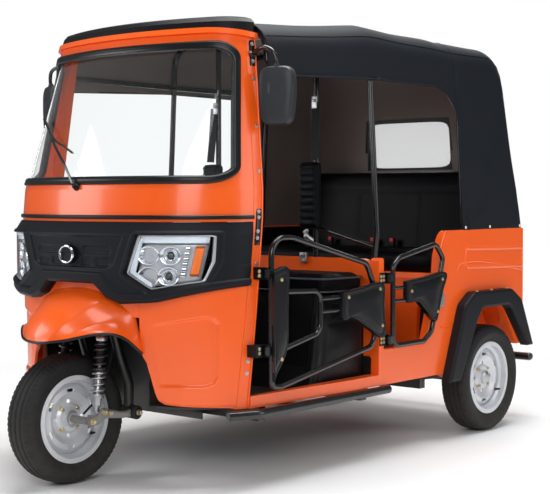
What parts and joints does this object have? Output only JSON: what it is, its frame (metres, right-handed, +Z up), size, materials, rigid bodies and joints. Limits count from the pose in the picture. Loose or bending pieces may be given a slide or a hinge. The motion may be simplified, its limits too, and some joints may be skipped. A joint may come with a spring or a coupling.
{
  "type": "auto rickshaw",
  "caption": "Three-wheeled passenger taxi with an open-sided cab, soft canopy, tube-framed half doors, a steered front wheel and a rear bench seat.",
  "frame": {"origin": "on the ground under the middle of the vehicle's outline", "axes": "+Z up, -Y towards the nose, +X towards the vehicle's left side"},
  "size_m": [1.4386, 2.7169, 1.8363],
  "materials": {
    "body_paint": "gloss orange enamel",
    "black_plastic": "grained black moulding",
    "black_steel": "semi-gloss black paint",
    "canopy_vinyl": "coated canvas",
    "seat_vinyl": "grained vinyl",
    "glass": "clear laminated",
    "clear_film": "clear flexible film",
    "lamp_chrome": "bright plated",
    "lens": "clear polycarbonate",
    "red_lens": "red lens",
    "silver_wheel": "silver paint",
    "tyre": "black rubber",
    "cast_grey": "bare casting",
    "steel": "plain steel",
    "rubber_seal": "black rubber",
    "mirror_shell": "dark grey moulding",
    "plate_white": "blank plate"
  },
  "bodies": {
    "body": {"a_pillars": "body_paint", "belt_strip": "black_plastic", "canopy": "canopy_vinyl", "canopy_frame": "black_steel", "chassis_frame": "black_steel", "dashboard": "black_plastic", "door_hinges": "black_steel", "door_posts": "body_paint", "driver_seat": "seat_vinyl", "driver_back_pads": "seat_vinyl", "engine_block": "cast_grey", "floor_pan": "body_paint", "foot_console": "black_plastic", "front_cowl": "body_paint", "front_fender": "body_paint", "front_wheel_arch": "black_plastic", "grille_panel": "black_plastic", "head_frame": "black_steel", "headlight_housings": "lamp_chrome", "headlight_lenses": "lens", "leg_shields": "body_paint", "mirrors": "mirror_shell", "muffler": "black_steel", "number_plate": "plate_white", "partition": "body_paint", "rear_axle": "black_steel", "rear_bumper": "black_steel", "rear_quarters": "body_paint", "rear_seat_back": "seat_vinyl", "rear_seat_base": "body_paint", "rear_seat_cushion": "seat_vinyl", "rear_shocks": "black_steel", "rear_wheel_boxes": "body_paint", "rear_window": "clear_film", "roof_lip": "body_paint", "roof_visor": "black_plastic", "seat_housing": "black_plastic", "side_sills": "body_paint", "side_steps": "black_steel", "tail_lights": "red_lens", "tail_panel": "body_paint", "wheel_flares": "black_plastic", "windshield": "glass", "windshield_seal": "rubber_seal"},
    "steering": {"fork_links": "cast_grey", "front_axle": "steel", "front_fork": "black_steel", "front_shocks": "black_steel", "handlebar": "black_steel", "steering_column": "steel"},
    "front_wheel": {"rim_front": "silver_wheel", "tyre_front": "tyre"},
    "rear_wheel_left": {"rim_rear_left": "silver_wheel", "tyre_rear_left": "tyre"},
    "rear_wheel_right": {"rim_rear_right": "silver_wheel", "tyre_rear_right": "tyre"},
    "front_door_left": {"front_door_left": "black_steel"},
    "front_door_right": {"front_door_right": "black_steel"},
    "rear_door_left": {"rear_door_left": "black_steel"},
    "rear_door_right": {"rear_door_right": "black_steel"}
  },
  "joints": [
    {"name": "steering", "type": "hinge", "parent": "body", "child": "steering", "pos_m": [0, -0.98555, 0.6], "axis": [0, 0.309, 0.9511], "range_deg": [-35, 35]},
    {"name": "front_wheel_spin", "type": "hinge", "parent": "steering", "child": "front_wheel", "pos_m": [0, -1.1115, 0.247], "axis": [1, 0, 0], "continuous": true},
    {"name": "rear_wheel_left_spin", "type": "hinge", "parent": "body", "child": "rear_wheel_left", "pos_m": [0.612, 0.8885, 0.247], "axis": [1, 0, 0], "continuous": true},
    {"name": "rear_wheel_right_spin", "type": "hinge", "parent": "body", "child": "rear_wheel_right", "pos_m": [-0.612, 0.8885, 0.247], "axis": [1, 0, 0], "continuous": true},
    {"name": "front_door_left_hinge", "type": "hinge", "parent": "body", "child": "front_door_left", "pos_m": [0.658, -0.6995, 0.66], "axis": [0, 0, -1], "range_deg": [0, 75]},
    {"name": "front_door_right_hinge", "type": "hinge", "parent": "body", "child": "front_door_right", "pos_m": [-0.658, -0.6995, 0.66], "axis": [0, 0, 1], "range_deg": [0, 75]},
    {"name": "rear_door_left_hinge", "type": "hinge", "parent": "body", "child": "rear_door_left", "pos_m": [0.658, 0.0875, 0.62], "axis": [0, 0, -1], "range_deg": [0, 75]},
    {"name": "rear_door_right_hinge", "type": "hinge", "parent": "body", "child": "rear_door_right", "pos_m": [-0.658, 0.0875, 0.62], "axis": [0, 0, 1], "range_deg": [0, 75]}
  ]
}
